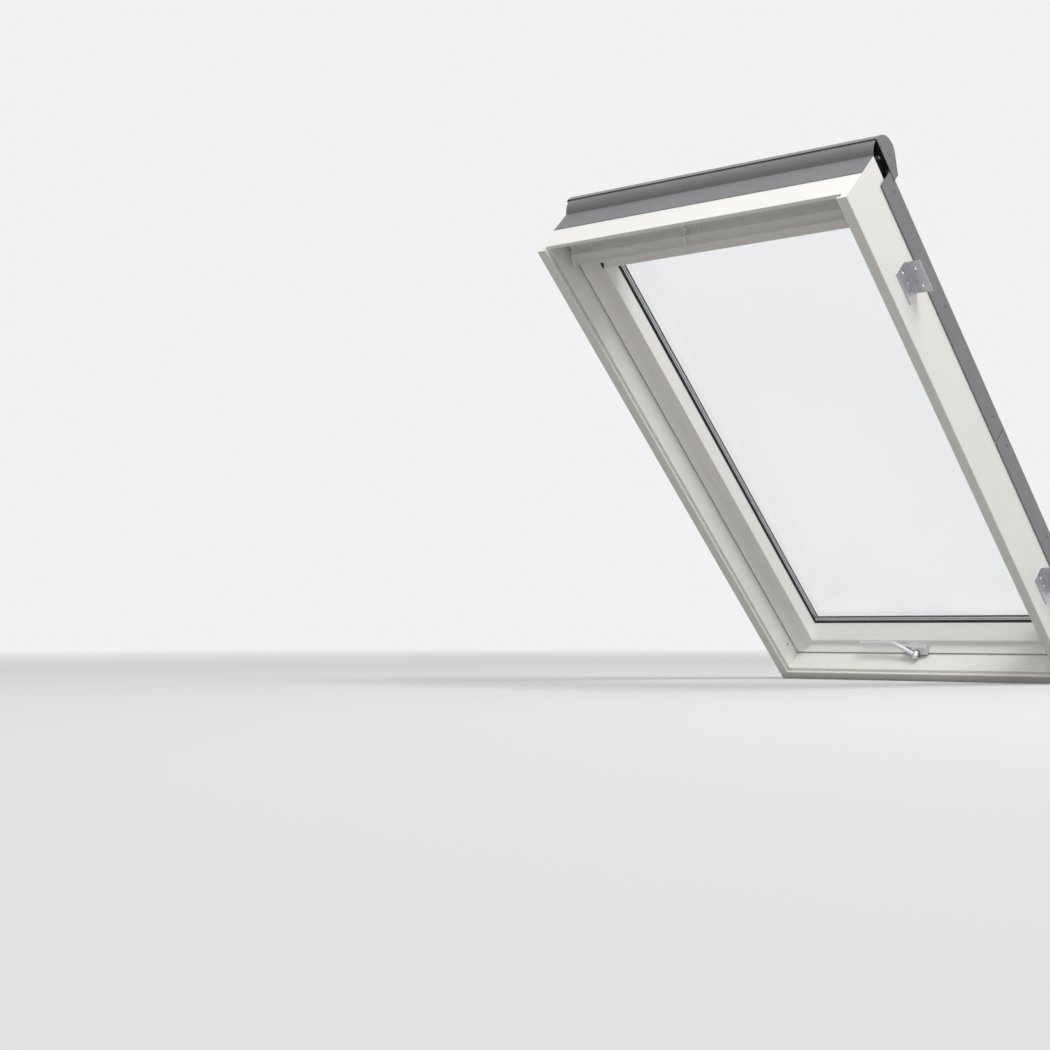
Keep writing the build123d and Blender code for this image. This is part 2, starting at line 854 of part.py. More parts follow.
def handle_base():
    """Moulded housing of the handle, seated on the slanted border of the bottom rail."""
    low = border_height_at(base_foot_front) + base_seat_gap
    back = border_height_at(base_foot_back) + base_seat_gap
    left = handle_x - handle_base_left
    right = handle_x + handle_base_right
    side = along_x(outline([
        (base_front, low, 3),
        (base_front + base_front_slope, base_top, 3),
        (base_front + base_front_slope + base_top_depth, base_top, 2),
        (base_foot_back, back + 2),
        (base_foot_back, back),
        (base_foot_front, low),
    ]), left, right)
    plan = along_z(outline([
        (left, base_foot_back, 1),
        (left, base_front + 15, 6),
        (handle_x - 2, base_front, 6),
        (right, base_front, 4),
        (right, base_foot_back, 1),
    ]), low - 1, base_top + 1)
    bore = rod_y(handle_x, handle_z, spindle_radius + pin_clearance, base_front - 1, base_front + 12)
    return side & plan - bore


# Ventilation flap and control bar

def flap_arc(shift):
    """Bulging curve of the flap in (y, z), moved outward by shift."""
    middle_z = (flap_bottom + flap_top) / 2
    return ThreePointArc((shift, flap_bottom), (shift - flap_bulge, middle_z), (shift, flap_top))


def between(first, second):
    """Face between two open curves in (y, z)."""
    ends = [Line(first @ 0, second @ 0), Line(first @ 1, second @ 1)]
    return make_face([*first.edges(), *second.edges(), *ends[0].edges(), *ends[1].edges()])


def vent_flap():
    """Curved flap across the top of the sash, with two knuckles on the flap pins."""
    flap = along_x(between(flap_arc(0), flap_arc(flap_thickness)), -flap_half_width, flap_half_width)
    lug_x = stile_inner - 1 - flap_lug_width
    x1 = lug_x - 0.5
    knuckle = rod_x(flap_axis_y, flap_axis_z, 5.5, x1 - 6, x1)
    knuckle += along_x(outline([
        (2.5, flap_bottom + 0.5),
        (flap_axis_y, flap_axis_z - 5.4),
        (flap_axis_y, flap_axis_z + 5.4),
        (-1, flap_axis_z + 8),
    ]), x1 - 6, x1)
    knuckle -= rod_x(flap_axis_y, flap_axis_z, flap_pin_radius + pin_clearance, x1 - 7, x1 + 1)
    notch = box(lug_x - 0.4, stile_inner, -20, flap_axis_y, flap_bottom - 1, flap_axis_z + 8)
    flap -= notch
    flap -= mirror(notch, about=Plane.YZ)
    return flap + knuckle + mirror(knuckle, about=Plane.YZ)


def flap_gasket():
    """Rubber strip behind the upper edge of the flap; it meets the gasket on the head."""
    tip = head_step_y - 4.3
    strip = along_x(outline([
        (-6, flap_top - 7),
        (tip, flap_top - 5, 1),
        (tip, flap_top - 1, 1),
        (-6, flap_top),
    ]), -flap_half_width, flap_half_width)
    return strip - along_x(between(flap_arc(-12), flap_arc(flap_thickness)), -inner_half, inner_half)


def bar_section():
    """Section of the control bar: a curved strip with round edges, hollow towards the room."""
    lip = (bar_lip_y, bar_lip_z)
    top = (bar_lip_y + bar_face_lean, bar_lip_z + bar_face_height)
    chord = math.hypot(bar_face_lean, bar_face_height)
    low_point = (
        (lip[0] + top[0]) / 2 + bar_hollow * bar_face_height / chord,
        (lip[1] + top[1]) / 2 - bar_hollow * bar_face_lean / chord,
    )
    return SlotArc(ThreePointArc(top, low_point, lip), bar_thickness)


def control_bar():
    """Bar that the hand pulls."""
    return along_x(bar_section(), -bar_half_length, bar_half_length)


def bar_bracket(x, pad_side):
    """Curved fin from the flap round the bar, with a pad on the flap on one side."""
    top_y = bar_lip_y + bar_face_lean
    top_z = bar_lip_z + bar_face_height
    fin = along_x(outline([
        (0, flap_top - 7),
        (-26, flap_top - 9, 5),
        (-23, top_z + 12, 9),
        (top_y - 2, top_z + 2, 4),
        (bar_lip_y - 2, bar_lip_z - 1, 2.5),
        (bar_lip_y + 2, bar_lip_z - 5, 2.5),
        (-26, bar_lip_z + 5, 12),
        (-20, top_z - 4, 12),
        (0, flap_top - 33),
    ]), x - fin_thickness / 2, x + fin_thickness / 2)
    edge = x + pad_side * fin_thickness / 2
    pad = along_x(outline([
        (0, flap_top - 8),
        (-flap_bulge + 2.5 - pad_thickness, flap_top - 8, 2),
        (-flap_bulge - pad_thickness, flap_top - 24, 8),
        (-flap_bulge - pad_thickness, flap_top - 34, 2),
        (0, flap_top - 34),
    ]), min(edge, edge + pad_side * pad_length), max(edge, edge + pad_side * pad_length))
    bracket = fin + pad
    flap_core = along_x(between(flap_arc(0), flap_arc(25)), -inner_half, inner_half)
    return bracket - flap_core - along_x(bar_section(), -bar_half_length, bar_half_length)


# Handle

def handle_lever():
    """Hub with a cranked lever that lies along the rail."""
    hub_front = base_front - hub_length
    hub = rod_y(handle_x, handle_z, hub_radius, hub_front, base_front - base_seat_gap)
    hub += rod_y(handle_x, handle_z, spindle_radius, hub_front, base_front + 11)
    grip_z = handle_z + grip_rise
    bend_x = handle_x - handle_base_left - grip_bend_gap
    path = FilletPolyline(
        (handle_x, hub_front + grip_depth / 2 + 0.5, handle_z),
        (bend_x, grip_y, grip_z),
        (bend_x - grip_length, grip_y, grip_z),
        radius=grip_bend_radius,
    )
    start = Plane(path @ 0, x_dir=(0, 0, 1), z_dir=path % 0)
    lever = sweep(start * RectangleRounded(grip_height, grip_depth, 3.5), path=path)
    return hub + lever


def hub_cap():
    """Domed cap on the hub."""
    hub_front = base_front - hub_length
    dome = Pos(handle_x, hub_front + 3, handle_z) * Sphere(hub_radius)
    reach = 2 * hub_radius
    front = box(handle_x - reach, handle_x + reach, hub_front - reach, hub_front,
                handle_z - reach, handle_z + reach)
    return dome & front


def frame_pieces():
    """Pieces that stay with the roof."""
    pieces = {
        "frame_sill": frame_sill(),
        "frame_head": frame_head(),
        "head_gasket": head_gasket(),
        "lock_strikers": as_pair(lock_striker()),
        "hinge_pins": as_pair(hinge_pin()),
        "sill_cover": sill_cover(),
        "head_cover": head_cover(),
    }
    for side, shape in both_sides(jamb()).items():
        pieces[f"frame_jamb_{side}"] = shape
    for side, shape in both_sides(bolt_bushing()).items():
        pieces[f"bolt_bushing_{side}"] = shape
    for side, shape in both_sides(upper_side_gasket()).items():
        pieces[f"upper_side_gasket_{side}"] = shape
    for side, shape in both_sides(hinge_bracket()).items():
        pieces[f"hinge_bracket_{side}"] = shape
    for side, shape in both_sides(frame_side_cover()).items():
        pieces[f"frame_side_cover_{side}"] = shape
    for level, row in (("lower", bracket_low), ("upper", bracket_high)):
        for side, shape in both_sides(mounting_bracket(row)).items():
            pieces[f"mounting_bracket_{level}_{side}"] = shape
    screws = []
    for y, z in bracket_screw_places():
        screws.extend(both_sides(bracket_screw(y, z)).values())
    pieces["bracket_screws"] = Compound(children=screws)
    return pieces


def arm_pieces():
    """Pieces that lift with the arms."""
    pieces = {"top_hood": top_hood(), "pivot_pins": as_pair(pivot_pin())}
    for side, shape in both_sides(arm()).items():
        pieces[f"lifting_arm_{side}"] = shape
    for side, shape in both_sides(arm_cover()).items():
        pieces[f"arm_cover_{side}"] = shape
    return pieces


def sash_pieces():
    """Pieces that turn on the centre pivot."""
    pieces = {
        "sash_bottom_rail": bottom_rail(),
        "sash_top_rail": top_rail(),
        "inner_pane": pane(glass_inner, cavity_inner),
        "outer_pane": pane(cavity_outer, glass_outer),
        "spacer_bar": spacer_bar(),
        "glazing_gasket": glazing_gasket(),
        "cover_gasket": cover_gasket(),
        "sash_top_cover": sash_top_cover(),
        "sash_bottom_cover": sash_bottom_cover(),
        "cover_end_caps": as_pair(cover_end_cap()),
        "bottom_gasket": bottom_gasket(),
        "bolt_guides": as_pair(bolt_guide()),
        "barrel_bolts": as_pair(barrel_bolt()),
        "flap_lugs": as_pair(flap_lug()),
        "vent_filter": vent_filter(),
        "handle_base": handle_base(),
    }
    strips = Compound(children=[side_gasket(0), side_gasket(seal_pitch)])
    for side, shape in both_sides(strips).items():
        pieces[f"side_gasket_{side}"] = shape
    for side, shape in both_sides(stile()).items():
        pieces[f"sash_stile_{side}"] = shape
    for side, shape in both_sides(sash_side_cover()).items():
        pieces[f"sash_side_cover_{side}"] = shape
    for side, shape in both_sides(pivot_plate()).items():
        pieces[f"pivot_plate_{side}"] = shape
    return pieces


def flap_pieces():
    """Pieces that swing with the control bar."""
    return {
        "vent_flap": vent_flap(),
        "flap_gasket": flap_gasket(),
        "control_bar": control_bar(),
        "bar_bracket_left": bar_bracket(-fin_x, 1),
        "bar_bracket_centre": bar_bracket(fin_offset, 1),
        "bar_bracket_right": bar_bracket(fin_x, -1),
    }


def handle_pieces():
    """Pieces that turn with the handle."""
    return {"handle_lever": handle_lever(), "hub_cap": hub_cap()}


def main():
    os.makedirs("parts", exist_ok=True)
    lean = Rot(90 - roof_pitch, 0, 0)
    groups = [frame_pieces(), arm_pieces(), sash_pieces(), flap_pieces(), handle_pieces()]
    for group in groups:
        for name, shape in group.items():
            export_step(lean * shape, f"parts/{name}.step")


main()
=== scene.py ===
import math

import bmesh
import bpy
from mathutils import Matrix, Vector


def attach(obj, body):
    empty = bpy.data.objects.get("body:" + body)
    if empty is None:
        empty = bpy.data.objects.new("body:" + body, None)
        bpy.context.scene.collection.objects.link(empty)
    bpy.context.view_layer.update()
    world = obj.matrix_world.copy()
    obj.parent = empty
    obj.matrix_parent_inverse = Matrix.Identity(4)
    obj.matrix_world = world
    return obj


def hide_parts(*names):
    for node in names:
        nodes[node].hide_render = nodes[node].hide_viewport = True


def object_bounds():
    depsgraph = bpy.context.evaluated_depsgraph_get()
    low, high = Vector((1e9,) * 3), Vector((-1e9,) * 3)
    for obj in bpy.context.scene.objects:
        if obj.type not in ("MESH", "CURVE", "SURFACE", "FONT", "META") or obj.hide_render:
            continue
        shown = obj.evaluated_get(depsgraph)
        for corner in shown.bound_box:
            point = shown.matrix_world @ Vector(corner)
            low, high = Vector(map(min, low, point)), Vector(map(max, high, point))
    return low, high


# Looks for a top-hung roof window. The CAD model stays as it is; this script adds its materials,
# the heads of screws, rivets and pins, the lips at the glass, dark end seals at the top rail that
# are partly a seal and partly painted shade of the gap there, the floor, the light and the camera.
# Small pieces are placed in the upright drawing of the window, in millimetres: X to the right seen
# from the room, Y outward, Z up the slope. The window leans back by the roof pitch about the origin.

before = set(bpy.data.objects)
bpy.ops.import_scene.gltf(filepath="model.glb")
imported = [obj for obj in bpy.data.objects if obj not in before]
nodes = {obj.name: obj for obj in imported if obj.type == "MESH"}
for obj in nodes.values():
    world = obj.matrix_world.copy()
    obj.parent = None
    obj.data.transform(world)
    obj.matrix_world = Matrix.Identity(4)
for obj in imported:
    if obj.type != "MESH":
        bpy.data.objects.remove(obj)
cad_low, cad_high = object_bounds()

ROOF_PITCH = math.radians(45)
LEAN = Matrix.Rotation(ROOF_PITCH, 4, "X")
MM = 0.001

# Main lines of the window in the upright drawing
HALF_WIDTH = 471.0
SASH_HALF = 438.8
STILE_INNER = 387.1
DAYLIGHT_LOW = 85.2
DAYLIGHT_HIGH = 1459.0
FRAME_OUTER = 70.0
SASH_FACE = 10.0
GLASS_FACE = 63.0
GLASS_OUTER = 86.0
CAVITY_INNER = 67.0
CAVITY = 15.0
HINGE_Y, HINGE_Z = 106.0, 1575.0
PIVOT_Y, PIVOT_Z = 92.0, 800.0


# Node helpers

def add_node(tree, kind, **values):
    """New shader node; values are its settings or the constants on its sockets."""
    made = tree.nodes.new(kind)
    for key, value in values.items():
        if hasattr(made, key):
            setattr(made, key, value)
        else:
            made.inputs[key.replace("_", " ")].default_value = value
    return made


def link(tree, source, target):
    tree.links.new(source, target)


def coordinates(tree, stretch=(1, 1, 1)):
    """Object coordinates turned back upright, so that X, Y and Z follow the window, then scaled."""
    where = add_node(tree, "ShaderNodeTexCoord")
    turn = add_node(tree, "ShaderNodeMapping")
    turn.inputs["Rotation"].default_value = (-ROOF_PITCH, 0, 0)
    link(tree, where.outputs["Object"], turn.inputs["Vector"])
    scaled = add_node(tree, "ShaderNodeMapping")
    scaled.inputs["Scale"].default_value = stretch
    link(tree, turn.outputs["Vector"], scaled.inputs["Vector"])
    return scaled.outputs["Vector"]


def noise(tree, vector, scale, detail=3.0, roughness=0.5):
    """Fractal noise, scale in repeats per metre."""
    made = add_node(tree, "ShaderNodeTexNoise", Scale=scale, Detail=detail, Roughness=roughness)
    link(tree, vector, made.inputs["Vector"])
    return made.outputs["Fac"]


def ramp(tree, factor, low, high, start=0.3, end=0.7):
    """Map a pattern between start and end to values from low to high, clamped outside."""
    made = add_node(tree, "ShaderNodeMapRange")
    made.inputs["From Min"].default_value = start
    made.inputs["From Max"].default_value = end
    made.inputs["To Min"].default_value = low
    made.inputs["To Max"].default_value = high
    link(tree, factor, made.inputs["Value"])
    return made.outputs["Result"]


def mix_colours(tree, factor, first, second):
    """Blend two colours, each a constant or a socket."""
    made = add_node(tree, "ShaderNodeMix", data_type="RGBA")
    link(tree, factor, made.inputs["Factor"])
    for socket, colour in ((made.inputs[6], first), (made.inputs[7], second)):
        if isinstance(colour, tuple):
            socket.default_value = (*colour, 1)
        else:
            link(tree, colour, socket)
    return made.outputs[2]


def bump(tree, height, relief):
    """Normals of a pattern in relief, relief in millimetres."""
    made = add_node(tree, "ShaderNodeBump", Strength=1.0, Distance=relief * MM)
    link(tree, height, made.inputs["Height"])
    return made.outputs["Normal"]


def new_material(name, roughness=0.5, metallic=0.0):
    made = bpy.data.materials.new(name)
    made.use_nodes = True
    shader = made.node_tree.nodes["Principled BSDF"]
    shader.inputs["Roughness"].default_value = roughness
    shader.inputs["Metallic"].default_value = metallic
    return made, made.node_tree, shader


# Materials

def coated(name, light, dark, rough, relief=0.04, peel_scale=420):
    """Smooth coat: faint cloudiness in colour and gloss, and a fine orange peel, relief in mm."""
    made, tree, shader = new_material(name)
    place = coordinates(tree)
    clouds = noise(tree, place, scale=5.5, detail=4)
    link(tree, mix_colours(tree, ramp(tree, clouds, 0, 1), dark, light), shader.inputs["Base Color"])
    smudges = noise(tree, place, scale=19, detail=5, roughness=0.6)
    link(tree, ramp(tree, smudges, rough - 0.05, rough + 0.07), shader.inputs["Roughness"])
    peel = noise(tree, place, scale=peel_scale, detail=2)
    link(tree, bump(tree, peel, relief), shader.inputs["Normal"])
    return made


def lacquered_sheet():
    """Grey lacquer on aluminium with rain streaks down the slope and dust."""
    made, tree, shader = new_material("grey_lacquer")
    streaks = noise(tree, coordinates(tree, stretch=(1, 1, 0.06)), scale=60, detail=4, roughness=0.6)
    dust = noise(tree, coordinates(tree), scale=7, detail=5, roughness=0.6)
    body = mix_colours(tree, ramp(tree, dust, 0, 1), (0.15, 0.155, 0.165), (0.18, 0.185, 0.195))
    streak_share = ramp(tree, streaks, 0, 0.35, start=0.5, end=0.75)
    link(tree, mix_colours(tree, streak_share, body, (0.235, 0.235, 0.235)), shader.inputs["Base Color"])
    link(tree, ramp(tree, streaks, 0.34, 0.5), shader.inputs["Roughness"])
    peel = noise(tree, coordinates(tree), scale=700, detail=2)
    link(tree, bump(tree, peel, 0.03), shader.inputs["Normal"])
    shader.inputs["Coat Weight"].default_value = 0.25
    shader.inputs["Coat Roughness"].default_value = 0.35
    return made


def zinc(name, light, dark, rough):
    """Zinc plate with faint spangle and fine scratches along the part."""
    made, tree, shader = new_material(name, metallic=1.0)
    place = coordinates(tree)
    spangle = add_node(tree, "ShaderNodeTexVoronoi", Scale=180.0)
    link(tree, place, spangle.inputs["Vector"])
    patches = ramp(tree, spangle.outputs["Distance"], 0, 1, start=0, end=0.8)
    link(tree, mix_colours(tree, patches, light, dark), shader.inputs["Base Color"])
    scratch = noise(tree, coordinates(tree, stretch=(1, 1, 0.04)), scale=900, detail=3)
    link(tree, ramp(tree, scratch, rough - 0.08, rough + 0.12), shader.inputs["Roughness"])
    link(tree, bump(tree, scratch, 0.02), shader.inputs["Normal"])
    return made


def satin_metal():
    """Satin plated metal of the handle, brushed along its length."""
    made, tree, shader = new_material("satin_chrome_plate", metallic=1.0)
    brush = noise(tree, coordinates(tree, stretch=(0.05, 1, 1)), scale=2600, detail=2)
    link(tree, mix_colours(tree, ramp(tree, brush, 0, 1), (0.66, 0.66, 0.685), (0.7, 0.7, 0.72)),
         shader.inputs["Base Color"])
    link(tree, ramp(tree, brush, 0.38, 0.44), shader.inputs["Roughness"])
    link(tree, bump(tree, brush, 0.004), shader.inputs["Normal"])
    return made


def rubber():
    """Matt black seal with fine extrusion lines and a little bloom."""
    made, tree, shader = new_material("seal_rubber", roughness=0.62)
    bloom = noise(tree, coordinates(tree), scale=45, detail=5, roughness=0.7)
    link(tree, mix_colours(tree, ramp(tree, bloom, 0, 1), (0.012, 0.012, 0.013), (0.03, 0.03, 0.032)),
         shader.inputs["Base Color"])
    link(tree, ramp(tree, bloom, 0.52, 0.72), shader.inputs["Roughness"])
    lines = noise(tree, coordinates(tree, stretch=(1, 1, 0.02)), scale=1500, detail=2)
    link(tree, bump(tree, lines, 0.08), shader.inputs["Normal"])
    return made


def dark_moulding():
    """Dark grained plastic of the end caps."""
    made, tree, shader = new_material("dark_moulding")
    grain = noise(tree, coordinates(tree), scale=1100, detail=3, roughness=0.6)
    link(tree, mix_colours(tree, ramp(tree, grain, 0, 1), (0.03, 0.031, 0.034), (0.048, 0.049, 0.052)),
         shader.inputs["Base Color"])
    link(tree, ramp(tree, grain, 0.42, 0.55), shader.inputs["Roughness"])
    link(tree, bump(tree, grain, 0.06), shader.inputs["Normal"])
    return made


def foam():
    """Open cell filter foam, with painted shade in its pores."""
    made, tree, shader = new_material("filter_foam", roughness=0.95)
    cells = add_node(tree, "ShaderNodeTexVoronoi", Scale=650.0)
    link(tree, coordinates(tree), cells.inputs["Vector"])
    # The near-black colour at the cell centres is painted shade in the pores; the lighter grey is the
    # foam's own colour.
    holes = ramp(tree, cells.outputs["Distance"], 0, 1, start=0.1, end=0.6)
    link(tree, mix_colours(tree, holes, (0.05, 0.052, 0.055), (0.26, 0.265, 0.27)),
         shader.inputs["Base Color"])
    link(tree, bump(tree, holes, 0.6), shader.inputs["Normal"])
    shader.inputs["Sheen Weight"].default_value = 0.2
    return made


def spacer_metal():
    """Spacer between the panes: dark sealant at both edges, bright metal, a dark line with holes."""
    sealant_width, line_from_edge, sealant_blur, line_blur = 2.4, 5.3, 0.2, 0.3
    made, tree, shader = new_material("spacer_aluminium", roughness=0.35)
    across = add_node(tree, "ShaderNodeSeparateXYZ")
    link(tree, coordinates(tree, stretch=(1, 1 / MM, 1)), across.inputs["Vector"])
    depth = add_node(tree, "ShaderNodeMath", operation="SUBTRACT")
    link(tree, across.outputs["Y"], depth.inputs[0])
    depth.inputs[1].default_value = CAVITY_INNER
    from_edge = add_node(tree, "ShaderNodeMath", operation="PINGPONG")
    link(tree, depth.outputs[0], from_edge.inputs[0])
    from_edge.inputs[1].default_value = CAVITY / 2
    dots = add_node(tree, "ShaderNodeTexVoronoi", Scale=260.0)
    link(tree, coordinates(tree), dots.inputs["Vector"])
    holes = ramp(tree, dots.outputs["Distance"], 1, 0, start=0.12, end=0.2)
    metal = mix_colours(tree, holes, (0.6, 0.6, 0.63), (0.3, 0.3, 0.33))
    middle = ramp(tree, from_edge.outputs[0], 0, 1,
                  start=line_from_edge - line_blur, end=line_from_edge + line_blur)
    lined = mix_colours(tree, middle, metal, (0.13, 0.125, 0.15))
    sealant = ramp(tree, from_edge.outputs[0], 1, 0,
                   start=sealant_width - sealant_blur, end=sealant_width + sealant_blur)
    link(tree, mix_colours(tree, sealant, lined, (0.03, 0.03, 0.034)), shader.inputs["Base Color"])
    link(tree, ramp(tree, sealant, 0.9, 0, start=0, end=1), shader.inputs["Metallic"])
    link(tree, bump(tree, middle, 0.4), shader.inputs["Normal"])
    return made


def clear_glass():
    """Clear float glass with a trace of green, which lets the light through to what is behind it."""
    made, tree, shader = new_material("clear_float_glass", roughness=0.0)
    film = noise(tree, coordinates(tree), scale=3.5, detail=3)
    link(tree, ramp(tree, film, 0, 0.012, start=0.55, end=0.8), shader.inputs["Roughness"])
    shader.inputs["Base Color"].default_value = (0.985, 0.995, 0.99, 1)
    shader.inputs["Transmission Weight"].default_value = 1.0
    shader.inputs["IOR"].default_value = 1.5
    let_through = add_node(tree, "ShaderNodeBsdfTransparent", Color=(0.985, 0.992, 0.989, 1))
    path = add_node(tree, "ShaderNodeLightPath")
    surface = shader.outputs[0]
    for name in ("Is Shadow Ray", "Is Diffuse Ray"):
        choose = add_node(tree, "ShaderNodeMixShader")
        link(tree, path.outputs[name], choose.inputs[0])
        link(tree, surface, choose.inputs[1])
        link(tree, let_through.outputs[0], choose.inputs[2])
        surface = choose.outputs[0]
    link(tree, surface, tree.nodes["Material Output"].inputs["Surface"])
    return made


MATERIALS = {
    "frame_white": coated("frame_white_coat", (0.85, 0.84, 0.81), (0.825, 0.815, 0.785), 0.36),
    "sash_white": coated("sash_white_coat", (0.9, 0.885, 0.87), (0.88, 0.865, 0.85), 0.33),
    "plastic": coated("white_moulding", (0.80, 0.80, 0.785), (0.775, 0.775, 0.76), 0.42, 0.03, 800),
    "bar": coated("bar_powder_coat", (0.79, 0.785, 0.77), (0.765, 0.76, 0.745), 0.4, 0.08, 520),
    "sheet": lacquered_sheet(),
    "zinc": zinc("zinc_plate", (0.62, 0.63, 0.65), (0.5, 0.51, 0.54), 0.36),
    "dark_steel": zinc("dark_passivated_steel", (0.2, 0.205, 0.21), (0.14, 0.145, 0.15), 0.42),
    "screw": zinc("screw_steel", (0.66, 0.66, 0.67), (0.55, 0.55, 0.57), 0.28),
    "chrome": satin_metal(),
    "rubber": rubber(),
    "dark": dark_moulding(),
    "foam": foam(),
    "spacer": spacer_metal(),
    "glass": clear_glass(),
}

LOOKS = {
    "frame_white": ["frame_sill", "frame_head", "frame_jamb_left", "frame_jamb_right"],
    "sash_white": ["sash_bottom_rail", "sash_top_rail", "sash_stile_left", "sash_stile_right"],
    "plastic": ["vent_flap", "bar_bracket_left", "bar_bracket_centre", "bar_bracket_right",
                "bolt_guides", "flap_lugs", "bolt_bushing_left", "bolt_bushing_right"],
    "bar": ["control_bar"],
    "sheet": ["top_hood", "arm_cover_left", "arm_cover_right", "sill_cover", "head_cover",
              "frame_side_cover_left", "frame_side_cover_right", "sash_top_cover",
              "sash_bottom_cover", "sash_side_cover_left", "sash_side_cover_right"],
    "zinc": ["lock_strikers", "hinge_bracket_left", "hinge_bracket_right", "hinge_pins",
             "mounting_bracket_lower_left", "mounting_bracket_lower_right",
             "mounting_bracket_upper_left", "mounting_bracket_upper_right",
             "barrel_bolts", "bracket_screws"],
    "dark_steel": ["pivot_plate_left", "pivot_plate_right", "pivot_pins",
                   "lifting_arm_left", "lifting_arm_right"],
    "chrome": ["handle_base", "handle_lever", "hub_cap"],
    "rubber": ["glazing_gasket", "cover_gasket", "head_gasket", "upper_side_gasket_left",
               "upper_side_gasket_right", "side_gasket_left", "side_gasket_right",
               "bottom_gasket", "flap_gasket"],
    "dark": ["cover_end_caps"],
    "foam": ["vent_filter"],
    "spacer": ["spacer_bar"],
    "glass": ["inner_pane", "outer_pane"],
}

for look, names in LOOKS.items():
    for name in names:
        mesh = nodes[name].data
        if not mesh.materials:
            mesh.materials.append(None)
        for index in range(len(mesh.materials)):
            mesh.materials[index] = MATERIALS[look]


# Mesh helpers

def make_piece(name, mesh_builder, body, look, smooth=True):
    """Turn a bmesh drawn upright in millimetres into a piece that rides on a body."""
    mesh_builder.transform(LEAN @ Matrix.Scale(MM, 4))
    bmesh.ops.recalc_face_normals(mesh_builder, faces=mesh_builder.faces)
    mesh = bpy.data.meshes.new(name)
    mesh_builder.to_mesh(mesh)
    mesh_builder.free()
    for face in mesh.polygons:
        face.use_smooth = smooth
    mesh.materials.append(MATERIALS[look])
    made = bpy.data.objects.new(name, mesh)
    bpy.context.scene.collection.objects.link(made)
    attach(made, body)
    return made


def facing(point, direction, spin=0.0):
    """Matrix that puts what is drawn along +Z at a point, pointing along a direction."""
    turn = Vector(direction).to_track_quat("Z", "Y").to_matrix().to_4x4()
    return Matrix.Translation(point) @ turn @ Matrix.Rotation(spin, 4, "Z")


def add_rings(mesh, rings, place):
    """Skin over rings of (x, y, z); the last is a point or gets a face, and the first stays open."""
    rows = []
    for ring in rings:
        rows.append([mesh.verts.new(place @ Vector(point)) for point in ring])
    for lower, upper in zip(rows, rows[1:]):
        count = len(lower)
        for i in range(count):
            j = (i + 1) % count
            if len(upper) == 1:
                mesh.faces.new((lower[i], lower[j], upper[0]))
            else:
                mesh.faces.new((lower[i], lower[j], upper[j], upper[i]))
    if len(rows[-1]) > 1:
        mesh.faces.new(rows[-1])


def angles(count):
    return [2 * math.pi * i / count for i in range(count)]


def circle(radius, height, count):
    return [(radius * math.cos(angle), radius * math.sin(angle), height) for angle in angles(count)]


def cross_ring(arm, waist, height, count):
    """Ring with the outline of a cross recess."""
    points = []
    for angle in angles(count):
        wave = max(0.0, math.cos(4 * angle)) ** 0.5
        radius = waist + (arm - waist) * wave
        points.append((radius * math.cos(angle), radius * math.sin(angle), height))
    return points


# Outline of a screw head and its recess, as shares of its radius and height
SCREW_SIDES = 32
SHANK_SHARE = 0.5
HEAD_OUTLINE = ((1.0, 0.0), (1.0, 0.35), (0.92, 0.68), (0.76, 0.9))
RECESS_MOUTH = (0.62, 0.24, 1.0)
RECESS_FLOOR = (0.5, 0.18, 0.35)
RECESS_TIP = 0.15
FIRST_SPIN, SPIN_STEP = 0.3, 0.7

# Outline of a rivet head
RIVET_SIDES = 28
RIVET_SUNK = 0.2
RIVET_EDGE = 0.25
RIVET_STEPS = (0.35, 0.6, 0.8, 0.94)


def add_screw(mesh, point, direction, radius, height, spin, shank):
    """Domed screw head with a real cross recess, and a shank if it has a length."""
    rings = []
    if shank:
        rings.append(circle(radius * SHANK_SHARE, -shank, SCREW_SIDES))
        rings.append(circle(radius * SHANK_SHARE, 0, SCREW_SIDES))
    for across, up in HEAD_OUTLINE:
        rings.append(circle(radius * across, height * up, SCREW_SIDES))
    for arm, waist, up in (RECESS_MOUTH, RECESS_FLOOR):
        rings.append(cross_ring(radius * arm, radius * waist, height * up, SCREW_SIDES))
    rings.append([(0, 0, height * RECESS_TIP)])
    add_rings(mesh, rings, facing(point, direction, spin))


def add_rivet(mesh, point, direction, radius, height):
    """Plain domed rivet head."""
    rings = [circle(radius, -RIVET_SUNK, RIVET_SIDES), circle(radius, height * RIVET_EDGE, RIVET_SIDES)]
    for step in RIVET_STEPS:
        up = RIVET_EDGE + (1 - RIVET_EDGE) * step
        rings.append(circle(radius * math.sqrt(1 - step * step), height * up, RIVET_SIDES))
    rings.append([(0, 0, height)])
    add_rings(mesh, rings, facing(point, direction))


def screws(name, body, places, radius, height, look="screw", shank=0.0):
    """One piece with a screw head at each place, each turned a little further."""
    mesh = bmesh.new()
    for index, (point, direction) in enumerate(places):
        add_screw(mesh, point, direction, radius, height, FIRST_SPIN + SPIN_STEP * index, shank)
    return make_piece(name, mesh, body, look)


def rivets(name, body, places, radius, height, look="zinc"):
    mesh = bmesh.new()
    for point, direction in places:
        add_rivet(mesh, point, direction, radius, height)
    return make_piece(name, mesh, body, look)


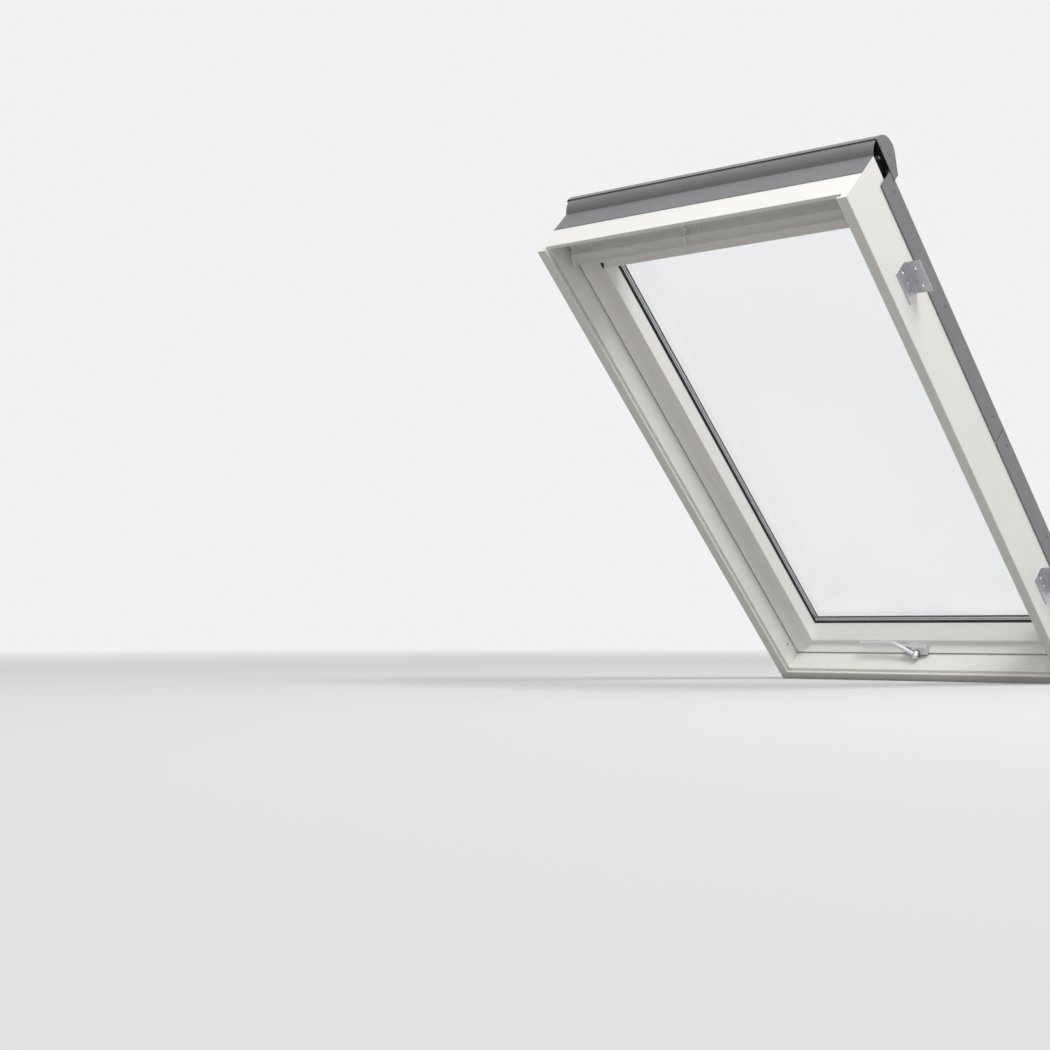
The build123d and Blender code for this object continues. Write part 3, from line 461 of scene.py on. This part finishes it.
def seal_lip(name, half, low, high, y, radius, sides=10):
    """Round rubber bead on the sash, along a rectangle in the window's plane, mitred at its corners."""
    mesh = bmesh.new()
    corners = [Vector(corner) for corner in
               ((-half, y, low), (half, y, low), (half, y, high), (-half, y, high))]
    rows = []
    for i, corner in enumerate(corners):
        enter = (corner - corners[i - 1]).normalized()
        leave = (corners[(i + 1) % len(corners)] - corner).normalized()
        mitre = (enter + leave).normalized()
        side = enter.cross(Vector((0, 1, 0))).normalized()
        up = enter.cross(side)
        row = []
        for angle in angles(sides):
            offset = (side * math.cos(angle) + up * math.sin(angle)) * radius
            slide = -offset.dot(mitre) / enter.dot(mitre)
            row.append(mesh.verts.new(corner + offset + enter * slide))
        rows.append(row)
    for lower, upper in zip(rows, rows[1:] + rows[:1]):
        for step in range(sides):
            after = (step + 1) % sides
            mesh.faces.new((lower[step], lower[after], upper[after], upper[step]))
    return make_piece(name, mesh, "sash", "rubber")


def both(x, y, z, direction):
    """A place and its direction on the right, and the same mirrored on the left."""
    dx, dy, dz = direction
    return [((x, y, z), (dx, dy, dz)), ((-x, y, z), (-dx, dy, dz))]


def gather(groups):
    """One list of the places in all groups."""
    return [place for group in groups for place in group]


# Screws and rivets

RIGHT, OUTWARD, ROOMWARD = (1, 0, 0), (0, 1, 0), (0, -1, 0)
STEEL_THICKNESS = 3.0

BRACKET_ROWS = (300, 1300)
BRACKET_SCREW_Y = -22
BRACKET_SCREW_PITCH = 28
heads = screws(
    "bracket_screw_heads", "frame",
    gather(both(HALF_WIDTH + STEEL_THICKNESS, BRACKET_SCREW_Y, row + step * BRACKET_SCREW_PITCH, RIGHT)
           for row in BRACKET_ROWS for step in (-1, 0, 1)),
    radius=4.75, height=2.5, shank=20)
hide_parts("bracket_screws")

HINGE_FOOT_X = HALF_WIDTH - 7.5
HINGE_FOOT_ROWS = (HINGE_Z - 23, HINGE_Z + 15)
screws("hinge_foot_screws", "frame",
       gather(both(HINGE_FOOT_X, FRAME_OUTER + STEEL_THICKNESS, z, OUTWARD) for z in HINGE_FOOT_ROWS),
       radius=3.2, height=1.6)

COVER_FACE = HALF_WIDTH + 3.5
COVER_SCREW_Y = 86
LOWER_COVER_ROWS = (60, 380, 700)
ARM_COVER_ROWS = (800, 1150, 1490)
for name, body, rows in (("lower_cover_screws", "frame", LOWER_COVER_ROWS),
                         ("arm_cover_screws", "lifting_arms", ARM_COVER_ROWS)):
    screws(name, body, gather(both(COVER_FACE, COVER_SCREW_Y, z, RIGHT) for z in rows),
           radius=3.6, height=1.8, look="sheet")

STRIKER_X, STRIKER_Z = 170.0, 17.3
STRIKER_SCREW_REACH = 15.4
STRIKER_FACE = FRAME_OUTER + 1.5
screws("striker_screws", "frame",
       gather(both(x, STRIKER_FACE, STRIKER_Z, OUTWARD)
              for x in (STRIKER_X - STRIKER_SCREW_REACH, STRIKER_X + STRIKER_SCREW_REACH)),
       radius=2.4, height=1.2)

GUIDE_X, GUIDE_Z = 414.0, 1521.0
GUIDE_SCREW_REACH, GUIDE_SCREW_RISE = 11.5, 4
screws("bolt_guide_screws", "sash",
       gather(both(GUIDE_X + side * GUIDE_SCREW_REACH, SASH_FACE, GUIDE_Z - side * GUIDE_SCREW_RISE,
                   ROOMWARD) for side in (-1, 1)),
       radius=2.3, height=1.0)

FIN_FACE = 428
FIN_SCREWS = ((-13, 1553), (-40, 1521))
screws("bar_fin_screws", "vent_flap", gather(both(FIN_FACE, y, z, RIGHT) for y, z in FIN_SCREWS),
       radius=2.6, height=0.8, look="plastic")

PIVOT_PLATE_FACE = SASH_HALF + 2.5
PLATE_SCREW_COLUMNS = (52, 98)
PLATE_SCREW_RISE = 56
screws("pivot_plate_screws", "sash",
       gather(both(PIVOT_PLATE_FACE, y, PIVOT_Z + side * PLATE_SCREW_RISE, RIGHT)
              for y in PLATE_SCREW_COLUMNS for side in (-1, 1)),
       radius=4.2, height=0.7)

PIVOT_PIN_END, HINGE_PIN_END, HOOD_SIDE = 459.5, 462.0, 476.0
HOOD_RIVETS = ((HINGE_Y + 24, HINGE_Z - 12), (HINGE_Y + 2, HINGE_Z + 26))
rivets("pivot_pin_heads", "lifting_arms", both(PIVOT_PIN_END, PIVOT_Y, PIVOT_Z, RIGHT),
       radius=7.5, height=2.2)
rivets("hinge_pin_heads", "frame", both(HINGE_PIN_END, HINGE_Y, HINGE_Z, RIGHT),
       radius=6.0, height=1.8)
rivets("hood_rivets", "lifting_arms", gather(both(HOOD_SIDE, y, z, RIGHT) for y, z in HOOD_RIVETS),
       radius=3.4, height=1.3, look="sheet")

# Lips at the two faces of the glass, and dark end seals of the top rail that are partly painted shade

INNER_LIP, INNER_LIP_INSET = 1.2, 1.3
seal_lip("glass_seal_lip", STILE_INNER - INNER_LIP_INSET, DAYLIGHT_LOW + INNER_LIP_INSET,
         DAYLIGHT_HIGH - INNER_LIP_INSET, GLASS_FACE - INNER_LIP, INNER_LIP)

OUTER_LIP = 0.9
OUTER_LIP_SIDE, OUTER_LIP_FOOT, OUTER_LIP_HEAD = 2.2, 3.8, 4.2
seal_lip("outer_seal_lip", STILE_INNER + OUTER_LIP_SIDE, DAYLIGHT_LOW + OUTER_LIP_FOOT,
         DAYLIGHT_HIGH - OUTER_LIP_HEAD, GLASS_OUTER + OUTER_LIP, OUTER_LIP)

# Dark rubber wedges where the top rail meets the stiles: partly a seal, partly painted shade standing in
# for the dark gap between rail and stile.
END_SHADE_SEAL_GAP = 0.4
END_SHADE_SEAL_FOOT, END_SHADE_SEAL_KNEE, END_SHADE_SEAL_TOP = DAYLIGHT_HIGH + 0.5, DAYLIGHT_HIGH + 9, DAYLIGHT_HIGH + 20
END_SHADE_SEAL_KNEE_WIDTH, END_SHADE_SEAL_TOP_WIDTH = 8, 12
END_SHADE_SEAL_BACK, END_SHADE_SEAL_FRONT = 2.4, 1.2
END_SHADE_SEAL_OUTLINE = ((END_SHADE_SEAL_GAP, END_SHADE_SEAL_FOOT), (END_SHADE_SEAL_GAP, END_SHADE_SEAL_TOP),
                    (END_SHADE_SEAL_TOP_WIDTH, END_SHADE_SEAL_TOP), (END_SHADE_SEAL_KNEE_WIDTH, END_SHADE_SEAL_KNEE))
shade_seals = bmesh.new()
for side in (-1, 1):
    rings = [[(side * (STILE_INNER - inward), y, z) for inward, z in END_SHADE_SEAL_OUTLINE]
             for y in (END_SHADE_SEAL_BACK, END_SHADE_SEAL_FRONT)]
    add_rings(shade_seals, rings, Matrix())
make_piece("rail_end_shade_seals", shade_seals, "sash", "rubber", smooth=False)

# Camera at the photograph's viewing angle; places in metres, lens and sensor in millimetres

YAW = math.radians(39.82)
TILT = math.radians(1.53)
CAMERA_PLACE = (2.666, -4.7046, 0.080)
FOCAL_LENGTH, SENSOR_WIDTH = 62.25, 36
SHIFT_X, SHIFT_Y = -0.0718, 0.0537
camera_data = bpy.data.cameras.new("camera")
camera_data.lens = FOCAL_LENGTH
camera_data.sensor_width = SENSOR_WIDTH
camera_data.shift_x = SHIFT_X
camera_data.shift_y = SHIFT_Y
camera = bpy.data.objects.new("camera", camera_data)
camera.location = CAMERA_PLACE
camera.rotation_euler = (math.pi / 2 + TILT, 0, YAW)
bpy.context.scene.collection.objects.link(camera)
bpy.context.scene.camera = camera

# Floor, backdrop and light, in metres

PALE = (0.93, 0.93, 0.95)
PALE_STRENGTH = 0.95
FLOOR_SEEN = (0.66, 0.66, 0.67)
FLOOR_BOUNCE = (0.335, 0.329, 0.318)
FLOOR_RADIUS, FLOOR_SIDES = 40.0, 96
FADE_START, FADE_END = 3.0, 9.0
ROOM_LIGHT = (0.465, 0.453, 0.438)
SKY_LIGHT = (0.84, 0.835, 0.84)
SKY_AXIS = Vector((0.42, 0.25, 0.87)).normalized()
SKY_START, SKY_FULL = -0.25, 0.3
GLOSS_SHARE = 0.5
LAMP_PLACE = (2.5, -1.4, 4.9)
LAMP_TARGET = (0, -0.55, 0.6)
LAMP_SIZE = 2.2
LAMP_POWER = 148
LAMP_COLOUR = (1.0, 0.99, 0.98)


def seen_directly(tree, gloss_share=1.0):
    """1 for rays from the camera and through glass, gloss_share for rays from gloss, otherwise 0."""
    path = add_node(tree, "ShaderNodeLightPath")
    gloss = ramp(tree, path.outputs["Is Glossy Ray"], 0, gloss_share, 0, 1)
    total = path.outputs["Is Camera Ray"]
    for other in (gloss, path.outputs["Is Transmission Ray"]):
        added = add_node(tree, "ShaderNodeMath", operation="MAXIMUM")
        link(tree, total, added.inputs[0])
        link(tree, other, added.inputs[1])
        total = added.outputs[0]
    return total


def floor_finish():
    """Pale floor that keeps shadows near the object and fades into the backdrop further out."""
    made, tree, shader = new_material("studio_floor", roughness=0.85)
    shader.inputs["Specular IOR Level"].default_value = 0.0
    seen = seen_directly(tree)
    link(tree, mix_colours(tree, seen, FLOOR_BOUNCE, FLOOR_SEEN), shader.inputs["Base Color"])
    backdrop = add_node(tree, "ShaderNodeEmission", Color=(*PALE, 1), Strength=PALE_STRENGTH)
    where = add_node(tree, "ShaderNodeTexCoord")
    distance = add_node(tree, "ShaderNodeVectorMath", operation="LENGTH")
    link(tree, where.outputs["Object"], distance.inputs[0])
    far = ramp(tree, distance.outputs["Value"], 0, 1, FADE_START, FADE_END)
    share = add_node(tree, "ShaderNodeMath", operation="MULTIPLY")
    link(tree, far, share.inputs[0])
    link(tree, seen, share.inputs[1])
    choose = add_node(tree, "ShaderNodeMixShader")
    link(tree, share.outputs[0], choose.inputs[0])
    link(tree, shader.outputs[0], choose.inputs[1])
    link(tree, backdrop.outputs[0], choose.inputs[2])
    link(tree, choose.outputs[0], tree.nodes["Material Output"].inputs["Surface"])
    return made


def studio_world():
    """Soft light, bright from outside the roof and dimmer from the room; what is seen is pale."""
    world = bpy.data.worlds.new("studio")
    bpy.context.scene.world = world
    world.use_nodes = True
    tree = world.node_tree
    light = tree.nodes["Background"]
    where = add_node(tree, "ShaderNodeTexCoord")
    height = add_node(tree, "ShaderNodeVectorMath", operation="DOT_PRODUCT")
    height.inputs[1].default_value = SKY_AXIS
    link(tree, where.outputs["Generated"], height.inputs[0])
    sky = ramp(tree, height.outputs["Value"], 0, 1, SKY_START, SKY_FULL)
    link(tree, mix_colours(tree, sky, ROOM_LIGHT, SKY_LIGHT), light.inputs["Color"])
    light.inputs["Strength"].default_value = 1.0
    backdrop = add_node(tree, "ShaderNodeBackground", Color=(*PALE, 1), Strength=PALE_STRENGTH)
    choose = add_node(tree, "ShaderNodeMixShader")
    link(tree, seen_directly(tree, GLOSS_SHARE), choose.inputs[0])
    link(tree, light.outputs[0], choose.inputs[1])
    link(tree, backdrop.outputs[0], choose.inputs[2])
    link(tree, choose.outputs[0], tree.nodes["World Output"].inputs["Surface"])


def studio_floor():
    """Round floor under the lowest point of the window."""
    disc = bmesh.new()
    bmesh.ops.create_circle(disc, cap_ends=True, radius=FLOOR_RADIUS, segments=FLOOR_SIDES)
    mesh = bpy.data.meshes.new("floor")
    disc.to_mesh(mesh)
    disc.free()
    mesh.materials.append(floor_finish())
    floor = bpy.data.objects.new("floor", mesh)
    floor.location.z = cad_low.z
    bpy.context.scene.collection.objects.link(floor)


def key_lamp():
    """Square lamp above the outside of the window, to the right."""
    data = bpy.data.lights.new("key_above", "AREA")
    data.shape = "SQUARE"
    data.size = LAMP_SIZE
    data.energy = LAMP_POWER
    data.color = LAMP_COLOUR
    lamp = bpy.data.objects.new("key_above", data)
    lamp.location = LAMP_PLACE
    lamp.rotation_euler = (Vector(LAMP_TARGET) - Vector(LAMP_PLACE)).to_track_quat("-Z", "Y").to_euler()
    bpy.context.scene.collection.objects.link(lamp)


studio_floor()
studio_world()
key_lamp()

bpy.context.scene.view_settings.view_transform = "Standard"
